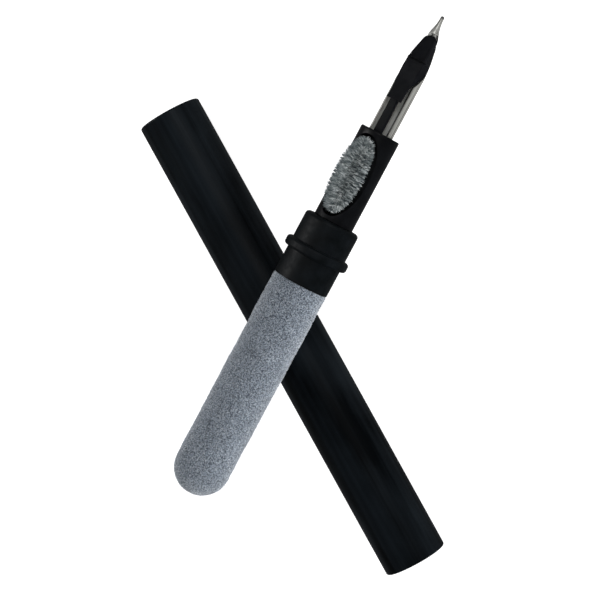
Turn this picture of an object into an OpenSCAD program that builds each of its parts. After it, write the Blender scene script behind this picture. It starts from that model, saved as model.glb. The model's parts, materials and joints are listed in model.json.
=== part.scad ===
// Lens and earpiece cleaning pen, resting across its own two caps, which lie mouth to mouth.
// Millimetres, +Z up. The origin is on the floor, at the middle of the whole object's box.
// Every piece of the pen is drawn along its own axis: z = 0 is the sponge's end, z grows
// towards the nib, and the brush faces -X. lay_pen() then lays the pen on the caps.

/* [Caps] */
// Outside diameter of both caps
cap_d = 14.8; // [14.6:0.1:16]
// Length of the cap that covers the brush and the nib
nib_cap_length = 59.5; // [58.5:0.1:65]
// Length of the cap that covers the sponge
sponge_cap_length = 55.8; // [55:0.1:65]
// Wall thickness of the caps
cap_wall = 0.95; // [0.8:0.05:0.95]

/* [Sponge] */
// Outside diameter of the flocked sponge
sponge_d = 13; // [12:0.1:13.5]
// Length of the sponge, up to the collar
sponge_length = 52.7; // [45:0.1:60]
// Depth of the flocked skin
flock_depth = 0.35; // [0.2:0.05:0.6]
// Diameter of the rod inside the sponge
core_d = 4.4; // [3.5:0.1:5]

/* [Collar] */
// Diameter of the collar on both sides of its flange
collar_d = 12.8; // [12.4:0.05:12.85]
// Length of the collar between the sponge and the flange
lower_collar = 6.3; // [6:0.1:8]
// Diameter of the flange that stops the caps
flange_d = 15; // [14.5:0.1:16]
// Width of the flange
flange_width = 2.2; // [1.8:0.1:3]
// Length of the collar between the flange and the neck
upper_collar = 6.6; // [6:0.1:9]

/* [Neck] */
// Diameter of the neck that carries the brush
neck_d = 9.2; // [8.8:0.05:9.6]
// Length of the neck
neck_length = 21.9; // [21.8:0.1:26]

/* [Brush] */
// Width of the brush's oval well
brush_width = 8.1; // [7.4:0.1:8.3]
// Length of the brush's oval well
brush_length = 19.6; // [16:0.1:19.8]
// Height of the bristles' crown above the pen's axis
crown_height = 5.5; // [4.8:0.1:6]

/* [Nib] */
// Outside diameter of the steel trough
nib_d = 5.7; // [5.5:0.05:5.8]
// Thickness of the steel sheet
nib_sheet = 0.38; // [0.3:0.02:0.45]
// Length of the nib outside the neck
nib_length = 28.5; // [28:0.1:32]
// Height of the trough's two edges above the pen's axis
edge_x = 1.35; // [1.2:0.05:1.6]

/* [Pose] */
// Angle between the pen and the caps, seen from above, in degrees
crossing_angle = 55.85; // [45:0.05:80]
// How far the pen leans down towards the nib, in degrees
lean = 15.53; // [14:0.01:16]
// Turn of the pen about its own axis, in degrees
roll = -12.5; // [-20:0.1:20]
// Where the pen crosses the caps, measured from the middle of their whole length
crossing_x = -3.76; // [-10:0.01:10]

/* [Hidden] */
$fn = 96;
ARC_STEPS = 6;
fit = 0.05;        // gap round a glued or pressed spigot
eps = 0.5;         // how far a cutting shape runs past the face that it cuts

// stations along the pen
z_collar = sponge_length;
z_flange = z_collar + lower_collar;
z_seat = z_flange + flange_width;
z_neck = z_seat + upper_collar;
z_mouth = z_neck + neck_length;
z_tip = z_mouth + nib_length;

cap_r = cap_d / 2;
bore_r = cap_r - cap_wall;
cap_floor = 1.1;
cap_end_round = 0.5;
cap_rim_round = 0.25;
mouth_gap = 0.2;         // between the mouths of the two caps
caps_half = (sponge_cap_length + nib_cap_length + mouth_gap) / 2;

sponge_r = sponge_d / 2;
foam_r = sponge_r - flock_depth;
core_r = core_d / 2;
core_start = 14;
core_socket = 5;

collar_r = collar_d / 2;
flange_r = flange_d / 2;
flange_round = 0.7;
shoulder_round = 0.8;

neck_r = neck_d / 2;
neck_chamfer = 0.35;
spigot_r = 3;
spigot_length = 7.4;

well_floor = -0.7;
well_middle = z_neck + 10.9;
base_top = -1.7;
base_inset = 0.1;
side_inset = 0.35;       // from the well's side to the bristles
end_inset = 0.7;         // from the well's ends to the bristles
crown_drop = 1.6;

nib_r = nib_d / 2;
nib_root = 9.5;
slot_x = 0.1;            // the nib's root is the part of the trough behind this plane
point_r = 0.42;          // the rounded point
z_taper = z_tip - 15.2;  // the trough is straight up to here
z_closed = z_tip - 4.7;  // the opening ends here
z_point = z_tip - point_r;
closed_r = 1.35;         // outside radius where the opening ends
TAPER_STEPS = 8;

feed_half = 1;
feed_bed = 2.15;         // the bar's back, near the trough's floor
feed_root = 7.5;
root_top = 0.4;
bar_top = 2.25;
bar_thick = 1;
heel = 0.8;              // where the bar turns down into its root, inside the neck
scoop_x = 1.15;          // beside the leaf, the steel is only behind this plane
belly_x = 1.35;          // the deepest part of the leaf
leaf_start = z_mouth + 7.75;
leaf_crease = z_mouth + 17.55;
leaf_end_r = 1.4;

// Directions and places of the laid pen. The sponge lies on the caps with a small gap, and
// the nib's point touches the floor.
rest_gap = 0.15;
apart = cap_r + sponge_r + rest_gap;
run = cos(lean) * sin(crossing_angle);
tilt = sqrt(pow(run, 2) + pow(sin(lean), 2));
lift = cap_r + apart * run / tilt;
push = apart * sin(lean) / tilt;
foot_to_point = (lift - point_r) / sin(lean);
z_foot = z_point - foot_to_point;
y_far = push + run * foot_to_point + point_r;
y_near = push - run * (z_foot - sponge_r) - sponge_r;
y_shift = -(y_far + y_near) / 2;

function arc(r, z, radius, from, to) =
    [for (i = [0:ARC_STEPS])
        let (a = from + (to - from) * i / ARC_STEPS)
        [r + radius * cos(a), z + radius * sin(a)]];

// Outside radius of the nib: straight, then a convex taper, then a concave one to the point.
function nib_outside(z) =
    z <= z_taper ? nib_r
    : z <= z_closed
        ? nib_r - (nib_r - closed_r) * pow((z - z_taper) / (z_closed - z_taper), 2)
        : point_r + (closed_r - point_r) * pow((z_point - z) / (z_point - z_closed), 2);

function steps(from, to) = [for (i = [0:TAPER_STEPS]) from + (to - from) * i / TAPER_STEPS];

module lay_caps() {
    translate([0, y_shift, cap_r]) rotate([0, 90, 0]) children();
}

module lay_pen() {
    translate([crossing_x, push + y_shift, lift])
        rotate([0, 0, 180 - crossing_angle])
            rotate([0, 90 + lean, 0])
                rotate([0, 0, roll])
                    translate([0, 0, -z_foot]) children();
}

// An oval along the pen: a small arc round each end, and a large one along each side.
module oval(length, width) {
    end_r = width * 0.42;
    side_r = (pow(length / 2 - end_r, 2) - pow(end_r, 2) + pow(width / 2, 2)) / (width - 2 * end_r);
    reach = length / 2 - end_r;
    hull_x = side_r - width / 2;
    union() {
        for (s = [-1, 1]) translate([0, s * reach]) circle(end_r);
        intersection() {
            translate([hull_x, 0]) circle(side_r, $fn = 240);
            translate([-hull_x, 0]) circle(side_r, $fn = 240);
            square([width, 2 * reach * side_r / (side_r - end_r)], center = true);
        }
    }
}

// A slab over the pen's oval, from one height above the axis to another, facing -X.
module over_axis(low, high) {
    translate([-low, 0, well_middle]) rotate([0, -90, 0]) rotate([0, 0, 90])
        linear_extrude(high - low) children();
}

// A moulded cap that stands on its closed end.
module cap(length) {
    rotate_extrude() polygon(concat(
        [[0, 0]],
        arc(cap_r - cap_end_round, cap_end_round, cap_end_round, -90, 0),
        arc(cap_r - cap_rim_round, length - cap_rim_round, cap_rim_round, 0, 90),
        arc(bore_r + cap_rim_round, length - cap_rim_round, cap_rim_round, 90, 180),
        [[bore_r, cap_floor], [0, cap_floor]]));
}

module sponge_cap() {
    color([0.045, 0.05, 0.055]) lay_caps() translate([0, 0, -caps_half]) cap(sponge_cap_length);
}

module nib_cap() {
    color([0.045, 0.05, 0.055]) lay_caps() mirror([0, 0, 1]) translate([0, 0, -caps_half])
        cap(nib_cap_length);
}

module core_shape(grow = 0) {
    translate([0, 0, core_start]) sphere(core_r + grow);
    translate([0, 0, core_start])
        cylinder(h = z_collar + core_socket - core_start + grow, r = core_r + grow);
}

module sponge_core() {
    color([0.75, 0.77, 0.8]) lay_pen() core_shape();
}

module sponge_profile(r) {
    translate([0, 0, sponge_r]) sphere(r);
    translate([0, 0, sponge_r]) cylinder(h = z_collar - sponge_r, r = r);
}

module sponge_foam() {
    color([0.42, 0.46, 0.52]) lay_pen() difference() {
        sponge_profile(foam_r);
        core_shape(fit);
    }
}

module flock_sleeve() {
    color([0.48, 0.53, 0.58]) lay_pen() difference() {
        sponge_profile(sponge_r);
        translate([0, 0, sponge_r]) sphere(foam_r);
        translate([0, 0, sponge_r]) cylinder(h = z_collar - sponge_r + eps, r = foam_r);
    }
}

module collar() {
    spigot_floor = z_neck - spigot_length - fit;
    core_roof = z_collar + core_socket + fit;
    color([0.07, 0.08, 0.085]) lay_pen() rotate_extrude() polygon(concat(
        [[0, core_roof], [core_r + fit, core_roof], [core_r + fit, z_collar],
         [collar_r, z_collar], [collar_r, z_flange]],
        arc(flange_r - flange_round, z_flange + flange_round, flange_round, -90, 0),
        arc(flange_r - flange_round, z_seat - flange_round, flange_round, 0, 90),
        [[collar_r, z_seat]],
        arc(collar_r - shoulder_round, z_neck - shoulder_round, shoulder_round, 0, 90),
        [[spigot_r + fit, z_neck], [spigot_r + fit, spigot_floor], [0, spigot_floor]]));
}

module neck_barrel() {
    color([0.055, 0.06, 0.065]) lay_pen() difference() {
        rotate_extrude() polygon([
            [0, z_neck - spigot_length], [spigot_r, z_neck - spigot_length], [spigot_r, z_neck],
            [neck_r, z_neck], [neck_r, z_mouth - neck_chamfer],
            [neck_r - neck_chamfer, z_mouth], [0, z_mouth]]);
        over_axis(-well_floor, neck_r + eps) oval(brush_length, brush_width);
        nib_slot();
        feed_socket();
    }
}

// The half-round slot that the nib's root slides into.
module nib_slot() {
    depth = nib_root + fit;
    intersection() {
        translate([0, 0, z_mouth - depth]) difference() {
            cylinder(h = depth + eps, r = nib_r + fit);
            translate([0, 0, -eps]) cylinder(h = depth + 3 * eps, r = nib_r - nib_sheet - fit);
        }
        translate([slot_x - fit, -nib_d, z_mouth - depth])
            cube([nib_d, 2 * nib_d, depth + eps]);
    }
}

module feed_socket() {
    for (part = [[root_top, feed_root], [bar_top, heel]])
        translate([-part[0] - fit, -feed_half - fit, z_mouth - part[1] - fit])
            cube([part[0] + feed_bed + 2 * fit, 2 * (feed_half + fit), part[1] + fit + eps]);
}

module brush_base() {
    color([0.16, 0.18, 0.19]) lay_pen() over_axis(-well_floor, -base_top)
        oval(brush_length - 2 * base_inset, brush_width - 2 * base_inset);
}

module brush_bristles() {
    length = brush_length - 2 * end_inset;
    crown_r = (pow(length / 2, 2) + pow(crown_drop, 2)) / (2 * crown_drop);
    color([0.6, 0.65, 0.66]) lay_pen() intersection() {
        over_axis(-base_top, crown_height) oval(length, brush_width - 2 * side_inset);
        translate([crown_r - crown_height, 0, well_middle]) sphere(crown_r, $fn = 160);
    }
}

// The trough as a closed shell of revolution, thicker by grow on both faces.
module nib_shell(grow = 0) {
    straight = [z_mouth - nib_root, for (z = steps(z_taper, z_closed)) z];
    point = steps(z_closed, z_point);
    rotate_extrude() polygon(concat(
        [for (z = straight) [nib_outside(z) + grow, z]],
        [for (i = [1:TAPER_STEPS - 1]) [nib_outside(point[i]) + grow, point[i]]],
        arc(0, z_point, point_r + grow, 0, 90),
        [[0, z_closed + 1]],
        [for (i = [len(straight) - 1:-1:0])
            [nib_outside(straight[i]) - nib_sheet - grow, straight[i]]]));
}

// What is cut away from the front of the shell, seen from the side: a straight mouth, then a
// scoop that leaves only the back of the trough beside the feed, then a rise to the point.
module nib_scoop(grow = 0) {
    far = 2 * nib_r;
    rotate([90, 0, 0]) linear_extrude(2 * far, center = true)
        polygon([[-far, z_mouth - eps], [-edge_x - grow, z_mouth - eps],
                 [-edge_x - grow, leaf_start + 4.2], [-grow, leaf_start + 6.5],
                 [scoop_x - grow, leaf_start + 8.4], [scoop_x - grow, z_closed - 1.4],
                 [-0.6, z_closed + 0.9], [-far, z_closed + 0.9]]);
}

module nib_trough(grow = 0) {
    root_end = z_mouth - nib_root - eps;
    difference() {
        nib_shell(grow);
        nib_scoop(grow);
        translate([-2 * nib_r, -2 * nib_r, root_end])
            cube([2 * nib_r + slot_x - grow, 4 * nib_r, nib_root + eps]);
    }
}

module steel_nib() {
    color([0.78, 0.79, 0.8]) lay_pen() nib_trough();
}

// The leaf's outline from above: y against z.
module leaf_outline() {
    end = z_closed - leaf_end_r;
    half = [[leaf_start, 1.97], [leaf_start + 5.5, 2.15], [leaf_crease - 2, 2.15],
            [leaf_crease, 1.95], [end, leaf_end_r]];
    polygon(concat([for (p = half) [p[0], -p[1]]],
                   [for (i = [len(half) - 1:-1:0]) half[i]]));
    translate([end, 0]) circle(leaf_end_r);
}

// The leaf from the side: a flat face with a crease in it, thin at first, then a deep belly.
module leaf_side() {
    polygon([[-2.5, leaf_start], [-2.05, leaf_start + 5], [-1.9, leaf_crease],
             [-0.2, z_closed], [0.35, z_closed], [belly_x, z_closed - 3], [belly_x, leaf_start + 8.4],
             [0.2, leaf_start + 6.4], [-1.6, leaf_start + 3.8], [-1.9, leaf_start]]);
}

// The black feed: a root, a flat bar over the trough, and a leaf over its edges.
module nib_feed() {
    color([0.05, 0.055, 0.06]) lay_pen() difference() {
        union() {
            translate([-root_top, -feed_half, z_mouth - feed_root])
                cube([root_top + feed_bed, 2 * feed_half, feed_root]);
            translate([-bar_top, -feed_half, z_mouth - heel])
                cube([bar_top + feed_bed, 2 * feed_half, heel]);
            translate([-bar_top, -feed_half, z_mouth - heel])
                cube([bar_thick, 2 * feed_half, leaf_start - z_mouth + heel + 2]);
            intersection() {
                rotate([0, -90, 0]) linear_extrude(2 * nib_d, center = true) leaf_outline();
                rotate([90, 0, 0]) linear_extrude(2 * nib_d, center = true) leaf_side();
            }
        }
        nib_trough(fit);
    }
}

sponge_cap();
nib_cap();
sponge_core();
sponge_foam();
flock_sleeve();
collar();
neck_barrel();
brush_base();
brush_bristles();
nib_feed();
steel_nib();
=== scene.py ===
"""The cleaning pen lying across its two caps. The pieces are drawn in millimetres along the
axis of the pen or of the caps, and laid by the matrices PEN and CAPS, which come from the frame."""

import json
import math

import bmesh
import bpy
import numpy as np
from mathutils import Matrix, Vector


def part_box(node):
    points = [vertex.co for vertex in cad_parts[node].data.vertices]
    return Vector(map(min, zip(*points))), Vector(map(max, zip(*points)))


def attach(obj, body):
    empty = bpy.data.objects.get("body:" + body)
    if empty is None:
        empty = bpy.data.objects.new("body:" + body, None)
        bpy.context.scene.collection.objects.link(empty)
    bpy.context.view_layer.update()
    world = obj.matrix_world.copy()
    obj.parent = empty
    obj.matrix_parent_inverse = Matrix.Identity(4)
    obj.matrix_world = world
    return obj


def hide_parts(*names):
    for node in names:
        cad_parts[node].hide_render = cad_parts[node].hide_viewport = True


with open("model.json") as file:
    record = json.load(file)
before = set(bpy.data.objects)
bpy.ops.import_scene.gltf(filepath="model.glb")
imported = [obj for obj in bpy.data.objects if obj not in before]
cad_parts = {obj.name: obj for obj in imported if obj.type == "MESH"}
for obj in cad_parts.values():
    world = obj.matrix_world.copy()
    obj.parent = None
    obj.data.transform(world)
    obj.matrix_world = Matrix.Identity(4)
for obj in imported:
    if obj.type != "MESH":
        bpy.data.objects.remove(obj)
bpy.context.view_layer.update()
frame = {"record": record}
MOUNTS = {m["name"]: m for m in frame["record"]["mounts"]}
MM = 0.001
RNG = np.random.default_rng(41)

# Stations along the pen in mm, from the sponge's end to the nib's point. The brush faces -X.
COLLAR, FLANGE, SEAT, NECK, MOUTH, TIP = 52.7, 59.0, 61.2, 67.8, 89.7, 118.2
SHOULDER = 0.8
ROLL = -12.5  # degrees that the pen is turned about its own axis
CAP_R, CAP_FLOOR, CAP_ROUND, CAP_RIM, CAP_CORNER = 7.4, 1.1, 0.5, 0.25, 0.4
BORE_R = MOUNTS["nib_cap_mouth"]["dims"]["r_mm"]
COLLAR_R = MOUNTS["nib_side_seat"]["dims"]["r_mm"]
SPONGE_R, FLOCK, CORE_R = 6.5, 0.22, 2.2
FLANGE_R, FLANGE_ROUND = 7.5, 0.7
NECK_R, WELL_MIDDLE, WELL_FLOOR = 4.6, 78.7, -0.7
BRUSH_W, BRUSH_L, BLOCK_TOP, CROWN = 8.1, 19.6, -1.7, 5.5
OVAL_POWER = 2.35  # 2 would be an ellipse
NIB_R, SHEET, TAPER, CLOSED = 2.85, 0.38, 103.0, 113.5
POINT_R, CLOSED_R = 0.42, 1.35
LEAF, CREASE = MOUTH + 7.75, MOUTH + 17.55
# Roots inside other pieces: the rod's and the neck's spigot in the collar, and those of the nib,
# the feed and its heel in the neck. FIT is the gap round them, and the last three end SUNK below
# the mouth.
CORE_ROOT, SPIGOT_R, SPIGOT_L, FIT = 5.0, 3.0, 7.4, 0.05
NIB_ROOT, FEED_ROOT, HEEL, SUNK = 9.5, 7.5, 0.8, 0.02
# The feed's root: half its width, its bed behind the axis, and its two tops in front of it.
FEED_HALF, FEED_BED, ROOT_TOP, BAR_TOP = 1.0, 2.15, 0.4, 2.15


def laid(mount, station, turn):
    """The matrix that takes local +Z along a mount's axis, with the mount's point at a station."""
    axis = Vector(MOUNTS[mount]["axis"]).normalized()
    yaw, lean = math.atan2(axis.y, axis.x), -math.asin(axis.z)
    spin = (
        Matrix.Rotation(yaw, 4, "Z")
        @ Matrix.Rotation(math.pi / 2 + lean, 4, "Y")
        @ Matrix.Rotation(math.radians(turn), 4, "Z")
    )
    place = Vector(MOUNTS[mount]["pos_m"]) - axis * station * MM
    return Matrix.Translation(place) @ spin


def caps_matrix():
    """Local +Z along the caps towards the closed end of the nib's cap, from their middle."""
    low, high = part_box("sponge_cap")[0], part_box("nib_cap")[1]
    middle = (Vector(low) + Vector(high)) / 2
    return Matrix.Translation(middle) @ Matrix.Rotation(math.pi / 2, 4, "Y")


PEN = laid("nib_side_seat", (SEAT + NECK - SHOULDER) / 2, ROLL)
CAPS = caps_matrix()
CAPS_HALF = (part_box("nib_cap")[1][0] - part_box("sponge_cap")[0][0]) / MM / 2


# ---------------------------------------------------------------- meshes


def put(name, data):
    """A new object in the scene for a mesh, a lamp's data or a camera's."""
    thing = bpy.data.objects.new(name, data)
    bpy.context.scene.collection.objects.link(thing)
    return thing


def solid(name, points, faces):
    """A mesh from points in mm, with its faces turned outwards."""
    mesh = bpy.data.meshes.new(name)
    mesh.from_pydata((np.asarray(points, float) * MM).tolist(), [], faces)
    mesh.validate()
    shape = bmesh.new()
    shape.from_mesh(mesh)
    bmesh.ops.recalc_face_normals(shape, faces=shape.faces)
    shape.to_mesh(mesh)
    shape.free()
    return mesh


def add_piece(name, points, faces, matrix, body, nodes):
    """A piece from points in mm, laid by a matrix, riding on a body and standing for CAD nodes."""
    mesh = solid(name, points, faces)
    mesh.polygons.foreach_set("use_smooth", [True] * len(mesh.polygons))
    piece = put(name, mesh)
    piece.matrix_world = matrix
    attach(piece, body)
    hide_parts(*nodes)
    return piece


def tint(piece, shades, each, reach):
    """Stores a shade for each fibre, whose points follow each other, and how far up it each is."""
    store = piece.data.attributes.new("fibre_shade", "FLOAT", "POINT")
    store.data.foreach_set("value", np.repeat(shades, each).astype(np.float32))
    store = piece.data.attributes.new("fibre_reach", "FLOAT", "POINT")
    store.data.foreach_set("value", np.tile(reach, len(shades)).astype(np.float32))


def arc(r, z, radius, start, end, count):
    """Points of an arc in an (r, z) outline, both ends included, angles in degrees."""
    angles = np.radians(np.linspace(start, end, count + 1))
    return [(r + radius * math.cos(a), z + radius * math.sin(a)) for a in angles]


def held(outline, hold=0.03, longest=1.5):
    """The outline with a point close to both ends of each long stretch, so that shading stays
    flat along it, and more points between them where it is very long."""
    out = []
    for a, b in zip(outline, outline[1:]):
        a, b = np.array(a), np.array(b)
        length = np.linalg.norm(b - a)
        out.append(a)
        if length > 6 * hold:
            steps = max(1, round(length / longest))
            for t in [hold / length, *[i / steps for i in range(1, steps)], 1 - hold / length]:
                out.append(a + (b - a) * t)
    return out + [np.array(outline[-1])]


def lathe(outline, count):
    """Points and faces of an (r, z) outline turned about Z. It starts and ends on the axis."""
    points, faces, rings = [], [], []
    angles = np.linspace(0, 2 * math.pi, count, endpoint=False)
    for r, z in outline:
        if r < 1e-6:
            rings.append([len(points)])
            points.append((0, 0, z))
        else:
            rings.append(list(range(len(points), len(points) + count)))
            points += [(r * math.cos(a), r * math.sin(a), z) for a in angles]
    for low, high in zip(rings, rings[1:]):
        for i in range(count):
            j = (i + 1) % count
            corners = [(low, i), (low, j), (high, j), (high, i)]
            face = list(dict.fromkeys(ring[k % len(ring)] for ring, k in corners))
            if len(face) > 2:
                faces.append(face)
    return points, faces


def oval_points(width, length, count=96):
    """(y, z) points round the brush's oval, about the well's middle."""
    out = []
    for i in range(count):
        a = 2 * math.pi * i / count
        c, s = math.cos(a), math.sin(a)
        out.append((
            math.copysign(abs(c) ** (2 / OVAL_POWER), c) * width / 2,
            math.copysign(abs(s) ** (2 / OVAL_POWER), s) * length / 2,
        ))
    return out


def loft(sections):
    """Points and faces of closed sections with equal counts, capped at both ends."""
    count = len(sections[0])
    points = [p for section in sections for p in section]
    faces = []
    for k in range(len(sections) - 1):
        for i in range(count):
            j = (i + 1) % count
            faces.append([k * count + i, k * count + j, (k + 1) * count + j, (k + 1) * count + i])
    faces.append(list(range(count))[::-1])
    faces.append([(len(sections) - 1) * count + i for i in range(count)])
    return points, faces


def boolean(piece, shape, operation="DIFFERENCE"):
    """Cuts a shape, given as points and faces, from the piece, or adds it."""
    tool = put("tool", solid("tool", *shape))
    tool.matrix_world = piece.matrix_world
    modifier = piece.modifiers.new("cut", "BOOLEAN")
    modifier.operation, modifier.solver, modifier.object = operation, "EXACT", tool
    apply_modifiers(piece)
    bpy.data.objects.remove(tool)


def apply_modifiers(piece):
    """Leaves the piece as plain mesh, in the shape that its modifiers gave it."""
    bpy.context.view_layer.update()
    graph = bpy.context.evaluated_depsgraph_get()
    mesh = bpy.data.meshes.new_from_object(piece.evaluated_get(graph))
    piece.modifiers.clear()
    piece.data = mesh


def soften(piece, width, angle=32, segments=3):
    """Rounds the piece's sharp edges and shades it smooth across them."""
    bevel = piece.modifiers.new("edges", "BEVEL")
    bevel.width, bevel.segments = width * MM, segments
    bevel.limit_method, bevel.angle_limit = "ANGLE", math.radians(angle)
    bevel.use_clamp_overlap = True
    apply_modifiers(piece)
    weighted = piece.modifiers.new("shading", "WEIGHTED_NORMAL")
    weighted.keep_sharp, weighted.weight = True, 100
    piece.data.polygons.foreach_set("use_smooth", [True] * len(piece.data.polygons))
    apply_modifiers(piece)


# ---------------------------------------------------------------- materials


class Paint:
    """A Principled material whose patterns use the piece's own coordinates, in metres."""

    def __init__(self, name, colour, roughness, **plain):
        self.material = bpy.data.materials.new(name)
        self.material.use_nodes = True
        self.nodes, self.links = self.material.node_tree.nodes, self.material.node_tree.links
        self.shader = self.nodes["Principled BSDF"]
        self.shader.inputs["Base Color"].default_value = (*colour, 1)
        self.shader.inputs["Roughness"].default_value = roughness
        for socket, value in plain.items():
            self.shader.inputs[socket.replace("_", " ")].default_value = value
        self.where = self.nodes.new("ShaderNodeTexCoord").outputs["Object"]

    def noise(self, per_mm, stretch=(1, 1, 1), detail=3.0, rough=0.5):
        """Noise from 0 to 1, with so many features per mm, drawn out where stretch is small."""
        mapping = self.nodes.new("ShaderNodeMapping")
        mapping.inputs["Scale"].default_value = [per_mm / MM * s for s in stretch]
        self.links.new(self.where, mapping.inputs["Vector"])
        texture = self.nodes.new("ShaderNodeTexNoise")
        texture.inputs["Scale"].default_value = 1
        texture.inputs["Detail"].default_value = detail
        texture.inputs["Roughness"].default_value = rough
        self.links.new(mapping.outputs["Vector"], texture.inputs["Vector"])
        return texture.outputs["Fac"]

    def spread(self, value, low, high, start=0.35, end=0.65):
        """The value between start and end, spread from low to high."""
        node = self.nodes.new("ShaderNodeMapRange")
        self.links.new(value, node.inputs["Value"])
        sockets = ("From Min", "From Max", "To Min", "To Max")
        for socket, number in zip(sockets, (start, end, low, high)):
            node.inputs[socket].default_value = number
        return node.outputs["Result"]

    def ramp(self, value, *stops):
        """A colour from stops, each (place, colour)."""
        node = self.nodes.new("ShaderNodeValToRGB")
        ramp = node.color_ramp
        while len(ramp.elements) < len(stops):
            ramp.elements.new(0.5)
        for element, (place, colour) in zip(ramp.elements, stops):
            element.position, element.color = place, (*colour, 1)
        self.links.new(value, node.inputs["Fac"])
        return node.outputs["Color"]

    def math(self, operation, a, b):
        """Two numbers, plain or from a socket, put together."""
        node = self.nodes.new("ShaderNodeMath")
        node.operation = operation
        for socket, value in zip(node.inputs, (a, b)):
            if isinstance(value, (int, float)):
                socket.default_value = value
            else:
                self.links.new(value, socket)
        return node.outputs[0]

    def height(self):
        """Place along the piece's own Z axis, in metres."""
        split = self.nodes.new("ShaderNodeSeparateXYZ")
        self.links.new(self.where, split.inputs[0])
        return split.outputs["Z"]

    def times(self, a, b):
        """Two colours multiplied."""
        node = self.nodes.new("ShaderNodeVectorMath")
        node.operation = "MULTIPLY"
        self.links.new(a, node.inputs[0])
        self.links.new(b, node.inputs[1])
        return node.outputs["Vector"]

    def stored(self, name):
        """A number that the mesh holds for each point or face."""
        node = self.nodes.new("ShaderNodeAttribute")
        node.attribute_name = name
        return node.outputs["Fac"]

    def drive(self, socket, output):
        """Links an output to one of the shader's sockets."""
        self.links.new(output, self.shader.inputs[socket])

    def bump(self, height, depth_mm):
        """Adds relief of a depth in mm to the relief already there."""
        node = self.nodes.new("ShaderNodeBump")
        node.inputs["Distance"].default_value = depth_mm * MM
        node.inputs["Strength"].default_value = 1.0
        self.links.new(height, node.inputs["Height"])
        before = self.shader.inputs["Normal"].links
        if before:
            self.links.new(before[0].from_socket, node.inputs["Normal"])
        self.links.new(node.outputs["Normal"], self.shader.inputs["Normal"])

    def on(self, *pieces):
        """Gives the material to pieces."""
        for piece in pieces:
            piece.data.materials.clear()
            piece.data.materials.append(self.material)


def moulded_plastic(name, dark, light, roughness, grain, spec=0.08):
    """Black moulded plastic: cloudy colour, fine grain, and shinier rubbed patches."""
    paint = Paint(name, dark, roughness, Specular_IOR_Level=spec)
    clouds = paint.noise(0.35, detail=4)
    paint.drive("Base Color", paint.ramp(clouds, (0.3, dark), (0.7, light)))
    rubbed = paint.noise(0.9, detail=5, rough=0.6)
    paint.drive("Roughness", paint.spread(rubbed, roughness - 0.08, roughness + 0.1))
    paint.bump(paint.noise(6, detail=3), grain)
    paint.bump(paint.noise(0.5, detail=2), grain * 2)
    return paint


def cap_plastic(name):
    """The caps: black plastic with faint lighter lines along them, and finer scuffs."""
    dark, light = (0.0004, 0.0009, 0.0014), (0.0075, 0.0105, 0.0135)
    paint = Paint(name, dark, 0.42, Specular_IOR_Level=0.08)
    lines = paint.noise(0.5, stretch=(1, 1, 0.012), detail=5, rough=0.62)
    clouds = paint.noise(0.12, stretch=(1, 1, 0.35), detail=3)
    both = paint.math("MULTIPLY", paint.math("ADD", lines, clouds), 0.5)
    paint.drive("Base Color", paint.ramp(both, (0.42, dark), (0.64, light)))
    scuffs = paint.noise(0.5, stretch=(1, 1, 0.08), detail=6, rough=0.7)
    paint.drive("Roughness", paint.spread(scuffs, 0.33, 0.52))
    paint.bump(lines, 0.02)
    paint.bump(paint.noise(5, stretch=(1, 1, 0.1), detail=2), 0.004)
    return paint


def flock_skin(name):
    """The ground that the flock stands in: speckled blue-grey, painted darker than the fibres as
    painted shade in the gaps between them.
    """
    paint = Paint(name, (0.17, 0.2, 0.24), 0.95,
                  Specular_IOR_Level=0.1, Sheen_Weight=0.4, Sheen_Roughness=0.5)
    speckle = paint.noise(3.1, detail=4, rough=0.7)
    # The speckle is the ground's own mottling; its dark colours are painted shade in the gaps
    # between the fibres.
    paint.drive("Base Color", paint.ramp(speckle, (0.42, (0.035, 0.045, 0.06)),
                                         (0.6, (0.3, 0.345, 0.4))))
    paint.bump(speckle, 0.12)
    return paint


def flock_fibre(name):
    """The flock's short fibres: light and dark ones in small curls, in slightly uneven patches."""
    paint = Paint(name, (0.4, 0.45, 0.5), 0.8,
                  Specular_IOR_Level=0.2, Sheen_Weight=1.0, Sheen_Roughness=0.45)
    curls = paint.spread(paint.noise(3.1, detail=3, rough=0.7), 0.0, 0.62, 0.35, 0.62)
    patches = paint.spread(paint.noise(0.16, detail=3), -0.06, 0.14, 0.35, 0.65)
    single = paint.math("MULTIPLY", paint.stored("fibre_shade"), 0.26)
    shade = paint.math("ADD", paint.math("ADD", curls, patches), single)
    paint.drive("Base Color", paint.ramp(
        shade, (0.1, (0.05, 0.062, 0.08)), (0.38, (0.26, 0.3, 0.36)),
        (0.62, (0.6, 0.66, 0.75)), (0.9, (0.95, 0.97, 1.0)),
    ))
    return paint


def bristle_nylon(name):
    """Silver-grey nylon filaments, light and dark tuft by tuft, with painted shade on the brush's
    sides held in their stored shade, and painted shade darkening them towards their roots.
    """
    paint = Paint(name, (0.4, 0.45, 0.45), 0.4, Specular_IOR_Level=0.35)
    # Painted shade: the stored shade is dimmed along each filament, most at its root.
    shade = paint.math("MULTIPLY", paint.stored("fibre_shade"),
                       paint.spread(paint.stored("fibre_reach"), 0.15, 1.0, 0.15, 0.85))
    paint.drive("Base Color", paint.ramp(
        shade, (0.05, (0.02, 0.024, 0.028)), (0.35, (0.14, 0.17, 0.18)),
        (0.62, (0.42, 0.47, 0.48)), (0.95, (0.95, 0.98, 0.98)),
    ))
    return paint


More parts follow.
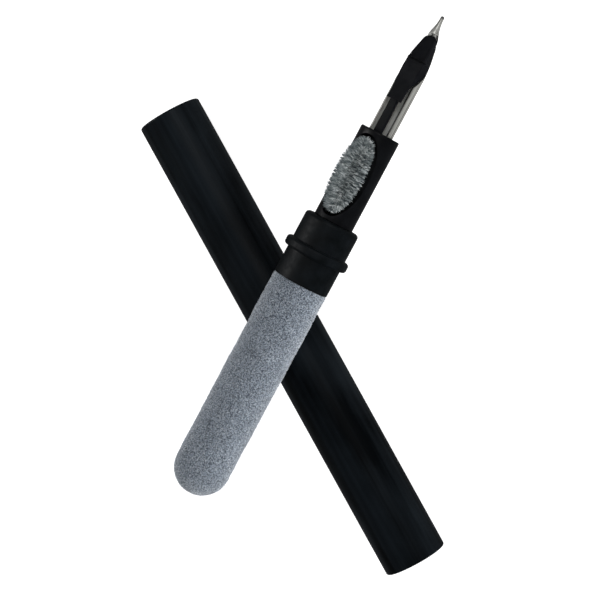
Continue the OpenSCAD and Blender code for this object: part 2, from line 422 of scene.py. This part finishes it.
def steel(name):
    """Sheet steel with fine lines from rolling. Inside the trough it is painted white and made
    dull, as painted light where the trough lies in shade; the cut rim of one side is painted almost
    black, as painted shade in the slot; outside it is painted darker and made more metallic, as
    painted shade that dims its reflections; and it is dark at the very point."""
    paint = Paint(name, (0.5, 0.5, 0.48), 0.3)
    wall = paint.stored("wall")
    point = paint.spread(paint.height(), 0, 1, (TIP - 0.75) * MM, (TIP - 0.35) * MM)
    lines = paint.noise(1.6, stretch=(1, 1, 0.02), detail=4, rough=0.65)
    streaks = paint.ramp(lines, (0.38, (0.66, 0.66, 0.63)), (0.56, (1, 1, 0.97)))
    # Painted light and shade by face, from the wall kinds: white inside the trough as painted
    # light, the near-black rim colour as painted shade on the cut rim at -Y, and half tone outside
    # as painted shade. Metallic below goes with it: none inside, 0.6 outside.
    rim = (0.02, 0.02, 0.02)
    sides = paint.ramp(wall, (0.2, (1, 1, 1)), (0.45, rim), (0.55, rim), (0.8, (0.5, 0.5, 0.485)))
    end = paint.ramp(point, (0, (1, 1, 1)), (1, (0.12, 0.12, 0.12)))
    paint.drive("Base Color", paint.times(paint.times(streaks, sides), end))
    paint.drive("Metallic", paint.spread(wall, 0.0, 0.6, 0.6, 1))
    paint.drive("Roughness", paint.spread(lines, 0.22, 0.4))
    paint.bump(paint.noise(7, stretch=(1, 1, 0.03), detail=3), 0.003)
    return paint


# ---------------------------------------------------------------- the caps


def make_cap(name, node, body, away):
    """A cap with its closed end at one end of the pair: away is -1 or 1 along the caps' axis."""
    low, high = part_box(node)
    length = (high[0] - low[0]) / MM
    outline = [(0, 0)] + arc(CAP_R - CAP_ROUND, CAP_ROUND, CAP_ROUND, -90, 0, 8)
    outline += arc(CAP_R - CAP_RIM, length - CAP_RIM, CAP_RIM, 0, 90, 8)
    outline += arc(BORE_R + CAP_RIM, length - CAP_RIM, CAP_RIM, 90, 180, 8)
    outline += arc(BORE_R - CAP_CORNER, CAP_FLOOR + CAP_CORNER, CAP_CORNER, 0, -90, 5)
    outline = held(outline + [(0, CAP_FLOOR)])
    points, faces = lathe([(r, away * (CAPS_HALF - z)) for r, z in outline], 224)
    return add_piece(name, points, faces, CAPS, body, [node])


# ---------------------------------------------------------------- pieces of the pen


def make_collar():
    """The collar and its flange, with sockets for the sponge's rod and the neck's spigot."""
    soft, step = 0.1, 0.12
    core_roof, spigot_floor = COLLAR + CORE_ROOT + FIT, NECK - SPIGOT_L - FIT
    outline = [(0, core_roof), (CORE_R + FIT, core_roof), (CORE_R + FIT, COLLAR + soft)]
    outline += arc(COLLAR_R - soft, COLLAR + soft, soft, -90, 0, 3)
    outline += [(COLLAR_R, FLANGE - step), (COLLAR_R + step, FLANGE)]
    outline += arc(FLANGE_R - FLANGE_ROUND, FLANGE + FLANGE_ROUND, FLANGE_ROUND, -90, 0, 10)
    outline += arc(FLANGE_R - FLANGE_ROUND, SEAT - FLANGE_ROUND, FLANGE_ROUND, 0, 90, 10)
    outline += [(COLLAR_R + step, SEAT), (COLLAR_R, SEAT + step)]
    outline += arc(COLLAR_R - SHOULDER, NECK - SHOULDER, SHOULDER, 0, 90, 8)
    outline += [(SPIGOT_R + FIT, NECK), (SPIGOT_R + FIT, spigot_floor), (0, spigot_floor)]
    points, faces = lathe(held(outline), 200)
    return add_piece("collar_moulding", points, faces, PEN, "pen", ["collar"])


def prism(outline, low, high):
    """A (y, z) outline about the well's middle, drawn from one height above the axis to another."""
    return loft([[(-h, y, WELL_MIDDLE + z) for y, z in outline] for h in (low, high)])


def block(x, y, z):
    """A box between pairs of x, y and z."""
    return loft([[(x[0], y[0], h), (x[1], y[0], h), (x[1], y[1], h), (x[0], y[1], h)] for h in z])


def make_neck():
    """The neck with its spigot, the brush's well, the nib's slot and the feed's sockets."""
    edge, lip, root = 0.1, 0.35, NECK - SPIGOT_L
    outline = [(0, root), (SPIGOT_R, root), (SPIGOT_R, NECK), (NECK_R - edge, NECK)]
    outline += [(NECK_R, NECK + edge)]
    outline += arc(NECK_R - lip, MOUTH - lip, lip, 0, 90, 5) + [(0, MOUTH)]
    points, faces = lathe(held(outline), 144)
    piece = add_piece("neck_moulding", points, faces, PEN, "pen", ["neck_barrel"])
    outer, inner, half_turn, past = NIB_R + FIT, NIB_R - SHEET - FIT, 1.55, 1
    turns = np.linspace(-half_turn, half_turn, 40)
    slot = [(outer * math.cos(a), outer * math.sin(a)) for a in turns]
    slot += [(inner * math.cos(a), inner * math.sin(a)) for a in turns[::-1]]
    wide = (-FEED_HALF - FIT, FEED_HALF + FIT)
    for hole in (
        prism(oval_points(BRUSH_W, BRUSH_L), -WELL_FLOOR, NECK_R + past),
        loft([[(x, y, h) for x, y in slot] for h in (MOUTH - NIB_ROOT - FIT, MOUTH + past)]),
        block((-ROOT_TOP - FIT, FEED_BED + FIT), wide, (MOUTH - FEED_ROOT - FIT, MOUTH + past)),
        block((-BAR_TOP - FIT, FEED_BED + FIT), wide, (MOUTH - HEEL - FIT, MOUTH + past)),
    ):
        boolean(piece, hole)
    soften(piece, 0.14)
    return piece


def make_brush_block():
    """The block in the well: how much narrower than the well it is, from its floor to its top."""
    rim = 0.2
    levels = [(0.2, WELL_FLOOR), (0.2, BLOCK_TOP + rim), (0.3, BLOCK_TOP + rim / 3),
              (0.6, BLOCK_TOP)]
    points, faces = loft([
        [(x, y, WELL_MIDDLE + z) for y, z in oval_points(BRUSH_W - less, BRUSH_L - less)]
        for less, x in levels
    ])
    return add_piece("brush_block", points, faces, PEN, "pen", ["brush_base"])


def make_bristles():
    """Filaments in small tufts, which rise from an oval, bend outwards and end in a dome."""
    pitch, sides, rows = 0.165, 4, 8
    thick, end, root = 0.085, 0.03, BLOCK_TOP + 0.1
    half_w, half_l = 2.5, 8.2
    out_w, out_l = BRUSH_W / 2 + 0.03 - half_w, BRUSH_L / 2 - 0.62 - half_l
    tuft_w, tuft_l = 0.6, 0.28
    tufts = RNG.normal(0, 1, (40, 90, 3))
    ring = np.linspace(0, 2 * math.pi, sides, endpoint=False)
    points, faces, shades = [], [], []
    for i, z0 in enumerate(np.arange(-half_l, half_l, pitch * 0.87)):
        for y0 in np.arange(-half_w - pitch / 2 * (i % 2), half_w, pitch):
            y, z = y0 + RNG.normal(0, 0.03), z0 + RNG.normal(0, 0.03)
            if abs(y / half_w) ** OVAL_POWER + abs(z / half_l) ** OVAL_POWER >= 1:
                continue
            out_y, out_z = y / half_w, z / half_l
            wave = 0.25 * math.sin(2.1 * y + 0.9 * z) + 0.2 * math.sin(4.3 * y - 1.7 * z)
            column, row = round(y / tuft_w), round(z / tuft_l + wave)
            shift, turn, shade = tufts[column + 20, row + 45]
            gather = 0.3 * ((row - wave) * tuft_l - z)
            height = CROWN - 1.45 * abs(out_y) ** 2.1 - 1.2 * abs(out_z) ** 3
            height += 0.07 * shift + RNG.normal(0, 0.05)
            go_y = out_w * math.copysign(abs(out_y) ** 0.75, out_y) + RNG.normal(0, 0.05)
            go_z = out_l * out_z * abs(out_z) + gather + 0.07 * turn + RNG.normal(0, 0.04)
            start = len(points)
            for k in range(rows + 1):
                t = k / rows
                radius = thick * (1 - 0.35 * t) if k < rows else end
                x = root - (height + root) * (1 - (1 - t) ** 1.7)
                cy, cz = y + go_y * t**1.9, WELL_MIDDLE + z + go_z * t**1.3
                points += [(x, cy + radius * math.cos(a), cz + radius * math.sin(a)) for a in ring]
            for k in range(rows):
                a = start + k * sides
                faces += [[a + i, a + (i + 1) % sides, a + sides + (i + 1) % sides, a + sides + i]
                          for i in range(sides)]
            faces.append([start + i for i in range(sides)][::-1])
            faces.append([start + rows * sides + i for i in range(sides)])
            # Each fibre's shade: painted shade darkens the +Y side strongly and the -Y side a
            # little; the tufts' own random tone is made stronger towards -Y as painted light and
            # shade for the bright streaks and dark gaps of that flank; and each fibre adds random
            # tone.
            shades.append(0.67 - 0.32 * max(0, out_y) + 0.08 * min(0, out_y)
                          + (0.12 - 0.08 * out_y) * shade + 0.1 * RNG.normal())
    piece = add_piece("brush_filaments", points, faces, PEN, "pen", ["brush_bristles"])
    reach = np.repeat(np.arange(rows + 1) / rows, sides)
    tint(piece, np.clip(shades, 0, 1), sides * (rows + 1), reach)
    return piece


def sponge_outline(r):
    """An (r, z) outline with a domed end and a rounded edge at the collar."""
    top, edge = COLLAR - 0.02, 0.25
    outline = [(0, SPONGE_R - r)] + arc(0, SPONGE_R, r, -90, 0, 40)[1:]
    outline += [(r, z) for z in np.linspace(SPONGE_R, top - edge, 110)[1:]]
    return outline + arc(r - edge, top - edge, edge, 0, 90, 5)[1:] + [(0, top)]


def uneven(points, seed=5, depth=0.05):
    """Pushes points of the sponge in or out by slow waves, so that it isn't a perfect cylinder.
    The body and the roots of the fibres get the same waves."""
    rng = np.random.default_rng(seed)
    points = np.array(points, float)
    angle = np.arctan2(points[:, 1], points[:, 0])
    wave = np.zeros(len(points))
    for _ in range(14):
        turns, pitch = rng.integers(0, 6), rng.uniform(0.1, 1.1)
        wave += np.sin(turns * angle + points[:, 2] * pitch + rng.uniform(0, 6.3)) / 14
    reach = np.hypot(points[:, 0], points[:, 1])
    grip = np.clip((COLLAR - points[:, 2]) / 2.5, 0, 1) * np.clip(reach / 2, 0, 1)
    factor = 1 + wave * depth * 3 * grip / np.maximum(reach, 1)
    points[:, 0] *= factor
    points[:, 1] *= factor
    return points


def make_sponge():
    """The flocked foam: an uneven body with a coat of short leaning fibres."""
    ground_r = SPONGE_R - FLOCK
    points, faces = lathe(sponge_outline(ground_r), 168)
    body = add_piece("sponge_body", uneven(points), faces, PEN, "pen",
                     ["sponge_foam", "sponge_core"])
    fibres, tufts = flock_fibres(ground_r)
    coat = add_piece("flock_coat", fibres, tufts, PEN, "pen", ["flock_sleeve"])
    tint(coat, RNG.random(len(fibres) // 4), 4, [0, 0, 0, 1])
    return body, coat


def flock_fibres(ground_r, count=36000):
    """Short pointed fibres all over the sponge, three-sided, each leaning its own way."""
    dome_share = SPONGE_R / (COLLAR - 0.1)
    on_dome = RNG.random(count) < dome_share
    angle = RNG.uniform(0, 2 * math.pi, count)
    rise = RNG.random(count)
    along = np.where(on_dome, 0, SPONGE_R + rise * (COLLAR - 0.35 - SPONGE_R))
    down = np.where(on_dome, rise, 0)
    level = np.sqrt(1 - down**2)
    normal = np.stack([level * np.cos(angle), level * np.sin(angle), -down], 1)
    root = normal * (ground_r - 0.03)
    root[:, 2] += np.where(on_dome, SPONGE_R, along)
    root = uneven(root)
    lean = RNG.normal(0, 0.5, (count, 3))
    length = RNG.uniform(0.2, 0.34, count)[:, None]
    direction = normal + lean * 0.9
    direction /= np.linalg.norm(direction, axis=1)[:, None]
    away = np.clip((direction * normal).sum(1), 0.35, None)[:, None]
    direction = direction + normal * (away < 0.4)
    direction /= np.linalg.norm(direction, axis=1)[:, None]
    side = np.cross(direction, RNG.normal(size=(count, 3)))
    side /= np.linalg.norm(side, axis=1)[:, None]
    other = np.cross(direction, side)
    width = RNG.uniform(0.04, 0.065, count)[:, None]
    turns = [2 * math.pi * k / 3 for k in range(3)]
    corners = [root + (side * math.cos(a) + other * math.sin(a)) * width for a in turns]
    points = np.stack([*corners, root + direction * length], 1).reshape(-1, 3)
    pattern = [(0, 2, 1), (0, 1, 3), (1, 2, 3), (2, 0, 3)]
    faces = [[f * 4 + i for i in face] for f in range(count) for face in pattern]
    return points, faces


def nib_outside(z):
    """The nib's outside radius: straight, a convex taper, then a concave one to the point."""
    tip = TIP - POINT_R
    if z <= TAPER:
        return NIB_R
    if z <= CLOSED:
        return NIB_R - (NIB_R - CLOSED_R) * ((z - TAPER) / (CLOSED - TAPER)) ** 2
    return POINT_R + (CLOSED_R - POINT_R) * ((tip - z) / (tip - CLOSED)) ** 2


def nib_cut(z):
    """How far the trough is cut away from its front, as an x that it lies behind."""
    stations = [MOUTH, LEAF + 3.9, LEAF + 4.3, LEAF + 6.2, LEAF + 7, LEAF + 8.4,
                CLOSED - 1.5, CLOSED - 0.6, CLOSED + 1.3]
    depths = [-1.35, -1.35, -1.25, -0.2, 0.45, 1.15, 1.25, 0.5, -0.55]
    return float(np.interp(z, stations, depths))


def make_nib():
    """The trough as a lofted sheet with peaked rims, and the closed point, in one piece."""
    across, end, peak, root_cut = 34, CLOSED + 0.9, 0.06, 0.1
    stations = [*np.linspace(MOUTH - NIB_ROOT, MOUTH - SUNK, 3), MOUTH,
                *np.linspace(MOUTH + 0.5, TAPER - 2.5, 9), *np.linspace(TAPER - 2, end, 56)]
    sections = []
    for z in stations:
        outer = nib_outside(z)
        inner = max(outer - SHEET, 0.12)
        cut = root_cut if z < MOUTH else nib_cut(z)
        a = math.acos(max(-1, min(1, -cut / outer)))
        b = math.acos(max(-1, min(1, -cut / inner)))
        outside, inside = (
            [(-r * math.cos(t), r * math.sin(t), z) for t in np.linspace(start, stop, across)]
            for r, start, stop in ((outer, a, 2 * math.pi - a), (inner, 2 * math.pi - b, b))
        )
        rims = [
            ((near[0] + far[0]) / 2 - peak, (near[1] + far[1]) / 2, z)
            for near, far in ((outside[-1], inside[0]), (inside[-1], outside[0]))
        ]
        sections.append([*outside, rims[0], *inside, rims[1]])
    points, faces = loft(sections)
    piece = add_piece("nib_sheet", points, faces, PEN, "pen", ["steel_nib"])
    base, tip_z = end - 0.5, TIP - POINT_R
    needle = [(0, base), (nib_outside(base) - 0.1, base)]
    needle += [(nib_outside(z), z) for z in np.linspace(end, tip_z, 26)]
    needle += arc(0, tip_z, POINT_R, 0, 90, 8)[1:-1] + [(0, TIP)]
    boolean(piece, lathe(needle, 48), "UNION")
    soften(piece, 0.05, angle=40, segments=2)
    mark_walls(piece)
    return piece


def mark_walls(piece):
    """Stores for each face whether it is inside the trough (0), on its cut rim at -Y, which is
    dark (0.5), or outside (1). The steel paints the rim near-black as painted shade in the slot,
    the inside white as painted light and the outside darker as painted shade."""
    kinds = []
    for face in piece.data.polygons:
        radial = Vector((face.center.x, face.center.y, 0))
        outwards = face.normal.dot(radial.normalized()) if radial.length > 0 else 1
        below_point = face.center.z < (CLOSED + 1.5) * MM
        at_rim = face.normal.x < -0.5 and abs(outwards) < 0.88
        # The cut rim at -Y below the point: faces that the steel paints near-black as painted
        # shade.
        rim = below_point and face.center.y < 0 and at_rim
        kinds.append(0.5 if rim else 0.0 if outwards < -0.3 else 1.0)
    store = piece.data.attributes.new("wall", "FLOAT", "FACE")
    store.data.foreach_set("value", kinds)


def rounded(half, top, bottom, z, corner, flare=0.0):
    """A section across the pen: flat face at x = top, rounded corners, and sides to x = bottom,
    which stand out further by flare there."""
    out = []
    deep = max(bottom - top, 2.2 * corner)
    base = top + deep
    side = half - corner
    for cx, cy, start in ((top + corner, side, 180), (base - corner, side + flare, 90)):
        for k in range(6):
            a = math.radians(start - 90 * k / 5)
            out.append((cx + corner * math.cos(a), cy + corner * math.sin(a), z))
    return out + [(x, -y, z) for x, y, _ in reversed(out)]


def make_feed():
    """The bar in the trough with its root in the neck, and the leaf over it, with its crease, and
    a belly that stands on the trough's cut rims and carries on their curve."""
    nose, corner, inset = 1.6, 0.16, 0.06

    def face(z):
        return float(np.interp(z, [LEAF, LEAF + 5, CREASE, CLOSED], [-2.5, -2.05, -1.9, -0.35]))

    def belly(z):
        depths = [-2.0, -1.7, -1.3, -0.3, 0.35, 1.05, 1.2, 1.15, 0.35, 0.0]
        places = [LEAF, LEAF + 3.2, LEAF + 4.2, LEAF + 6, LEAF + 6.9, LEAF + 8.3, LEAF + 11,
                  CLOSED - 2.4, CLOSED - 1.2, CLOSED]
        return float(np.interp(z, places, depths))

    def half(z):
        widths = [1.9, 1.9, 2.15, 2.25, 2.15, 2.0, nose]
        places = [LEAF, LEAF + 2.3, LEAF + 4.8, LEAF + 7.5, CREASE, CREASE + 2, CLOSED - nose]
        flat = float(np.interp(z, places, widths))
        return flat * math.sqrt(max(0.02, 1 - max(0, (z - CLOSED + nose) / nose) ** 2))

    def flare(z):
        skin = math.sqrt(max(nib_outside(z) ** 2 - max(belly(z), 0) ** 2, 0.01))
        rise = min(1, max(0, (z - LEAF - 4.5) / 3)) * min(1, max(0, (CLOSED - nose - z) / 1.5))
        return rise * max(0, skin - inset - half(z))

    groove = {CREASE - 0.24: 0, CREASE - 0.14: 0.4, CREASE + 0.14: 0.4, CREASE + 0.24: 0}
    nose_steps = [CLOSED - nose * f for f in (0.9, 0.75, 0.6, 0.45, 0.32, 0.2, 0.1, 0.04, 0.0)]
    stations = [LEAF, LEAF + 0.1, *np.linspace(LEAF + 0.5, CREASE - 0.35, 28), *groove,
                *np.linspace(CREASE + 0.4, CLOSED - nose, 12), *nose_steps]
    leaf = []
    for z in stations:
        pinch, dent = 0.1 if z == LEAF else 0, groove.get(z, 0)
        drop = 0.35 * max(0, (z - CLOSED + 0.6) / 0.6) ** 2
        widen = 0.75 * dent
        top = face(z) + pinch + dent + drop
        leaf.append(rounded(half(z) - pinch + widen, top, belly(z) - pinch, z,
                            min(0.2, half(z) / 2.5), flare(z) - widen))
    points, faces = loft(leaf)
    piece = add_piece("feed_moulding", points, faces, PEN, "pen", ["nib_feed"])
    low = (MOUTH - 0.75, MOUTH, MOUTH + 2, LEAF - 1.8)
    bar = [rounded(FEED_HALF, -2.1, -1.25, z, corner) for z in low]
    bar += [rounded(0.92, -2.25, -1.2, z, corner) for z in (LEAF - 1.6, LEAF, LEAF + 1.5)]
    sides = (-FEED_HALF, FEED_HALF)
    for shape in (
        loft(bar),
        block((-BAR_TOP, FEED_BED), sides, (MOUTH - HEEL, MOUTH - SUNK)),
        block((-ROOT_TOP, FEED_BED), sides, (MOUTH - FEED_ROOT, MOUTH - SUNK)),
    ):
        boolean(piece, shape, "UNION")
    soften(piece, 0.04, angle=50, segments=2)
    return piece


# ---------------------------------------------------------------- floor, lamps and camera


def make_stage():
    """A white floor, which shiny surfaces don't mirror."""
    size = 3.0
    corners = [(-size, -size, 0), (size, -size, 0), (size, size, 0), (-size, size, 0)]
    mesh = bpy.data.meshes.new("floor")
    mesh.from_pydata(corners, [], [[0, 1, 2, 3]])
    floor = put("floor", mesh)
    floor.visible_glossy = False
    Paint("floor_white", (0.93, 0.93, 0.93), 0.9, Specular_IOR_Level=0.0,
          Emission_Color=(1, 1, 1, 1), Emission_Strength=0.8).on(floor)


def add_area(name, place, size, power, glossy=True):
    """A round lamp aimed at the pen. One that isn't glossy leaves no highlight."""
    data = bpy.data.lights.new(name, "AREA")
    data.shape, data.size, data.energy = "DISK", size, power
    lamp = put(name, data)
    lamp.location = place
    lamp.visible_glossy = glossy
    lamp.rotation_mode = "QUATERNION"
    lamp.rotation_quaternion = (Vector((0, 0, 0.01)) - Vector(place)).to_track_quat("-Z", "Y")


def make_lamps():
    """A dim white world and four lamps."""
    world = bpy.data.worlds.new("studio")
    bpy.context.scene.world = world
    world.use_nodes = True
    background = world.node_tree.nodes["Background"]
    background.inputs["Color"].default_value = (1, 1, 1, 1)
    background.inputs["Strength"].default_value = 0.16
    add_area("key", (-0.35, 0.75, 0.9), 0.5, 2.9)
    add_area("fill", (0.7, -0.2, 0.8), 0.7, 2.5, glossy=False)
    add_area("back", (-0.65, -0.55, 0.5), 0.5, 3.9)
    add_area("side", (0.6, 0.5, 0.25), 0.3, 4.6, glossy=False)


def make_camera():
    """Above the caps and a little to the nib's side, with the caps running down to the right."""
    tilt, focal, sensor = math.radians(24.97), 115.4, 36
    distance, right_of_middle, above_middle = 436 * MM, 1.7 * MM, 8.3 * MM
    across, along = (0.484, 0.875), (-0.875, 0.484)
    slope = Vector((0, math.cos(tilt), -math.sin(tilt)))
    back = Vector((0, math.sin(tilt), math.cos(tilt)))
    right = Vector((1, 0, 0)) * across[0] + slope * across[1]
    up = Vector((1, 0, 0)) * along[0] + slope * along[1]
    data = bpy.data.cameras.new("camera")
    data.lens, data.sensor_width = focal, sensor
    data.clip_start, data.clip_end = 0.02, 20
    camera = put("camera", data)
    place = CAPS.translation + right * right_of_middle + up * above_middle + back * distance
    turn = Matrix((right, up, back)).transposed().to_4x4()
    camera.matrix_world = Matrix.Translation(place) @ turn
    bpy.context.scene.camera = camera


make_stage()
make_lamps()
make_camera()

cap_plastic("cap_black").on(
    make_cap("sponge_cap_shell", "sponge_cap", "sponge_cover", -1),
    make_cap("nib_cap_shell", "nib_cap", "nib_cover", 1),
)
moulded_plastic(
    "collar_black", (0.001, 0.0018, 0.0022), (0.0035, 0.005, 0.0065), 0.5, 0.012, 0.14
).on(make_collar())
moulded_plastic(
    "neck_black", (0.001, 0.0012, 0.0018), (0.003, 0.0035, 0.0045), 0.4, 0.006, 0.16
).on(make_neck())
moulded_plastic(
    "block_black", (0.003, 0.0035, 0.004), (0.007, 0.008, 0.009), 0.6, 0.01
).on(make_brush_block())
bristle_nylon("bristle_silver").on(make_bristles())
sponge_body, flock_coat = make_sponge()
flock_skin("flock_ground").on(sponge_body)
flock_fibre("flock_fibre").on(flock_coat)
steel("nib_steel").on(make_nib())
moulded_plastic(
    "feed_black", (0.0015, 0.0018, 0.0028), (0.004, 0.0046, 0.0065), 0.42, 0.005, 0.16
).on(make_feed())

bpy.context.scene.view_settings.view_transform = "Standard"
